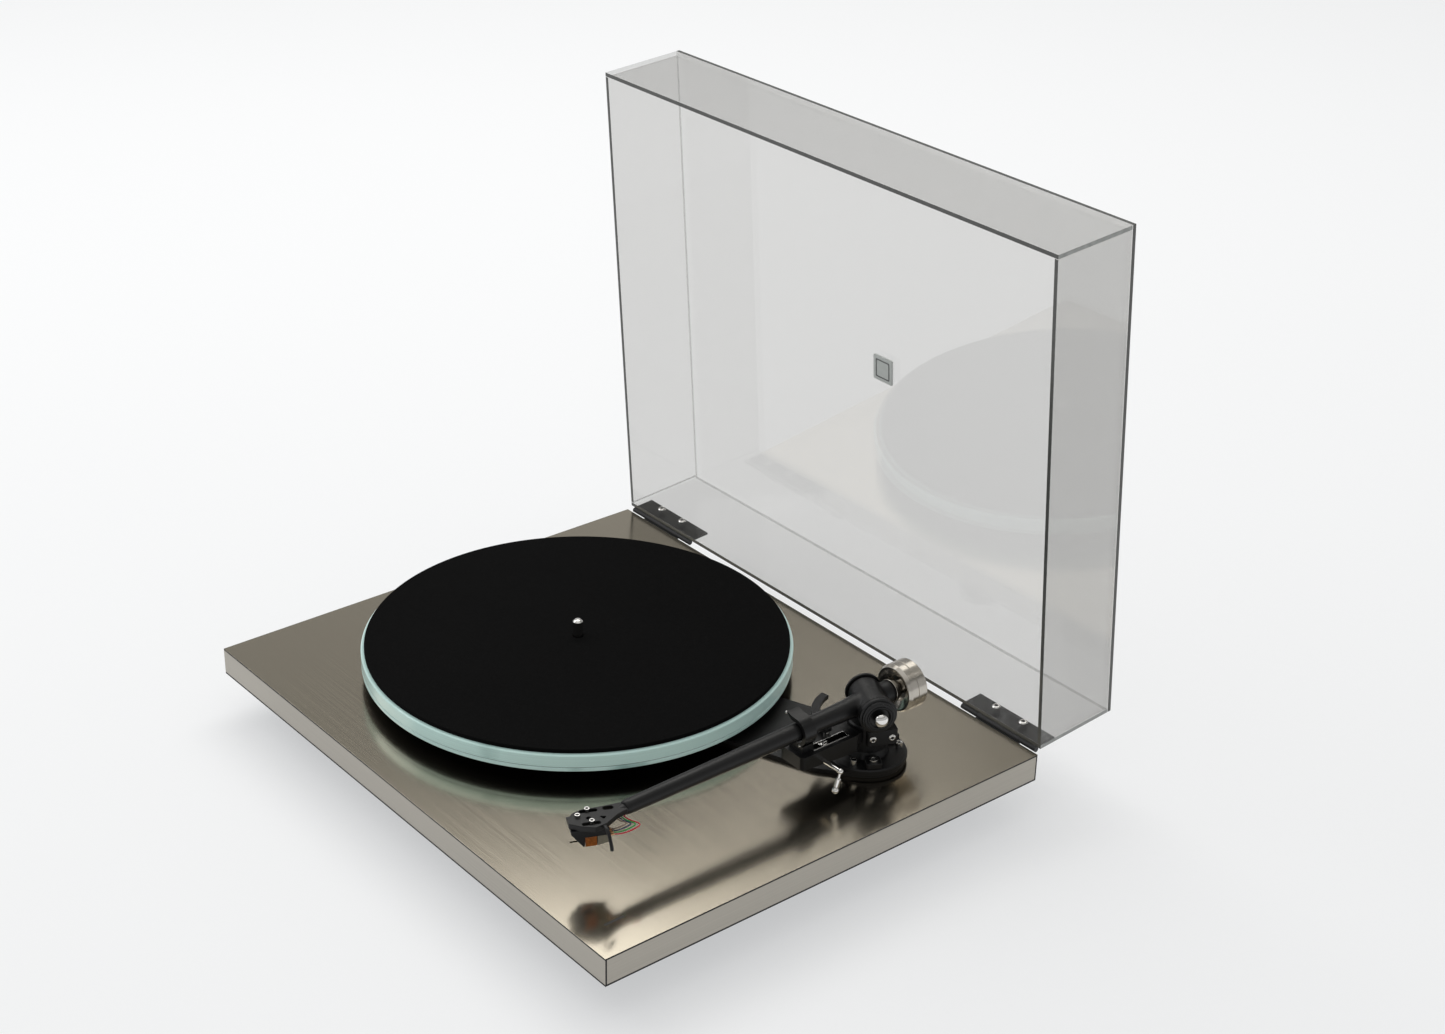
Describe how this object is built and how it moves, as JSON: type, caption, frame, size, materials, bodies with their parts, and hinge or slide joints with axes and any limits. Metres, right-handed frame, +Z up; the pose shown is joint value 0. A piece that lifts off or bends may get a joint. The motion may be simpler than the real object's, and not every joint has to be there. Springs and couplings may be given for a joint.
{
  "type": "record player",
  "caption": "Belt-drive record player with a slim metal-faced plinth, glass platter with felt mat, black tonearm and a hinged clear lid standing open.",
  "frame": {"origin": "on the floor, under the middle of the whole object's box with the lid open", "axes": "+Z up, -Y towards the user, +X to the user's right (tonearm side)"},
  "size_m": [0.447, 0.4274, 0.412],
  "materials": {
    "phenolic_core": "fine black foam-filled core",
    "metal_laminate": "warm brushed semi-gloss",
    "under_laminate": "matt",
    "edge_laminate": "brushed",
    "brace_black": "satin black",
    "foot_rubber": "matt",
    "bearing_brass": "machined",
    "motor_metal": "satin",
    "pulley_metal": "machined",
    "belt_rubber": "matt",
    "black_plastic": "fine texture",
    "clear_glass": "polished, green-blue at the edge",
    "felt": "felt",
    "sub_platter_plastic": "moulded",
    "polished_steel": "polished",
    "steel_nut": "satin",
    "arm_black": "satin black powder coat",
    "weight_steel": "fine brushed",
    "cartridge_amber": "translucent amber-brown",
    "cartridge_beige": "satin",
    "lead_red": "insulation",
    "lead_green": "insulation",
    "lead_blue": "insulation",
    "lead_white": "insulation",
    "acrylic": "clear, slightly smoky",
    "hinge_grey": "satin"
  },
  "bodies": {
    "plinth": {"plinth_core": "phenolic_core", "top_laminate": "metal_laminate", "bottom_laminate": "under_laminate", "edge_front": "edge_laminate", "edge_rear": "edge_laminate", "edge_left": "edge_laminate", "edge_right": "edge_laminate", "top_brace": "brace_black", "bottom_brace": "brace_black", "foot_front_left": "foot_rubber", "foot_front_right": "foot_rubber", "foot_rear": "foot_rubber", "bearing_housing": "bearing_brass", "motor_body": "motor_metal", "motor_cover": "black_plastic", "drive_belt": "belt_rubber", "power_inlet": "black_plastic", "arm_base": "arm_black", "arm_cable_gland": "black_plastic", "arm_lock_nut": "steel_nut", "arm_pillar": "arm_black", "lift_box": "black_plastic", "arm_clip": "black_plastic", "hinge_bracket_left": "hinge_grey", "hinge_bracket_right": "hinge_grey"},
    "platter": {"sub_platter": "sub_platter_plastic", "spindle": "polished_steel", "glass_disc": "clear_glass", "glass_ring": "clear_glass", "mat": "felt"},
    "motor_pulley": {"pulley": "pulley_metal"},
    "switch": {"switch_rocker": "black_plastic"},
    "yoke": {"arm_yoke": "steel_nut"},
    "arm": {"arm_tube": "arm_black", "bearing_cap": "arm_black", "force_flange": "arm_black", "dial_hub": "polished_steel", "rear_stub": "polished_steel", "cartridge_body": "arm_black", "cartridge_window": "cartridge_amber", "cartridge_rear": "cartridge_beige", "stylus": "steel_nut", "finger_lift": "arm_black", "lead_red": "lead_red", "lead_green": "lead_green", "lead_blue": "lead_blue", "lead_white": "lead_white"},
    "dial": {"force_dial": "black_plastic"},
    "weight": {"counterweight": "weight_steel"},
    "lever": {"cue_lever": "polished_steel"},
    "lift": {"lift_platform": "arm_black"},
    "bias": {"bias_slider": "polished_steel"},
    "lid": {"lid_top": "acrylic", "lid_front": "acrylic", "lid_rear": "acrylic", "lid_left": "acrylic", "lid_right": "acrylic", "hinge_leaf_left": "hinge_grey", "hinge_leaf_right": "hinge_grey"}
  },
  "joints": [
    {"name": "platter_spin", "type": "hinge", "parent": "plinth", "child": "platter", "pos_m": [-0.0528, -0.03029, 0.07], "axis": [0, 0, -1], "continuous": true},
    {"name": "pulley_spin", "type": "hinge", "parent": "plinth", "child": "motor_pulley", "pos_m": [-0.1188, -0.09629, 0.058], "axis": [0, 0, -1], "continuous": true},
    {"name": "switch_rock", "type": "hinge", "parent": "plinth", "child": "switch", "pos_m": [-0.13, -0.19519, 0.0345], "axis": [0, 1, 0], "range_deg": [0, 12]},
    {"name": "arm_swing", "type": "hinge", "parent": "plinth", "child": "yoke", "pos_m": [0.156, 0.05111, 0.094], "axis": [0, 0, -1], "range_deg": [0, 53]},
    {"name": "arm_tilt", "type": "hinge", "parent": "yoke", "child": "arm", "pos_m": [0.156, 0.05111, 0.094], "axis": [-0.9076, 0.4199, 0], "range_deg": [0, 3], "deforming": ["arm_clip"]},
    {"name": "lever_turn", "type": "hinge", "parent": "plinth", "child": "lever", "pos_m": [0.1675, 0.00201, 0.073], "axis": [-1, 0, 0], "range_deg": [0, 90]},
    {"name": "lift_rise", "type": "slide", "parent": "plinth", "child": "lift", "axis": [0, 0, 1], "range_m": [0, 0.00165]},
    {"name": "dial_turn", "type": "hinge", "parent": "arm", "child": "dial", "pos_m": [0.156, 0.05111, 0.094], "axis": [0.9076, -0.4199, 0], "range_deg": [0, 270]},
    {"name": "weight_slide", "type": "slide", "parent": "arm", "child": "weight", "axis": [0.0022, 0.9999, 0.0119], "range_m": [-0.003, 0.004]},
    {"name": "bias_slide", "type": "slide", "parent": "plinth", "child": "bias", "axis": [0, 1, 0], "range_m": [-0.0065, 0.0145]},
    {"name": "lid_hinge", "type": "hinge", "parent": "plinth", "child": "lid", "pos_m": [0, 0.14661, 0.0504], "axis": [1, 0, 0], "range_deg": [0, 86]}
  ],
  "couplings": [
    {"joint": "pulley_spin", "follows": "platter_spin", "ratio": 10},
    {"joint": "lever_turn", "follows": "arm_tilt", "ratio": 30},
    {"joint": "lift_rise", "follows": "arm_tilt", "m_per_rad": 0.0315}
  ]
}
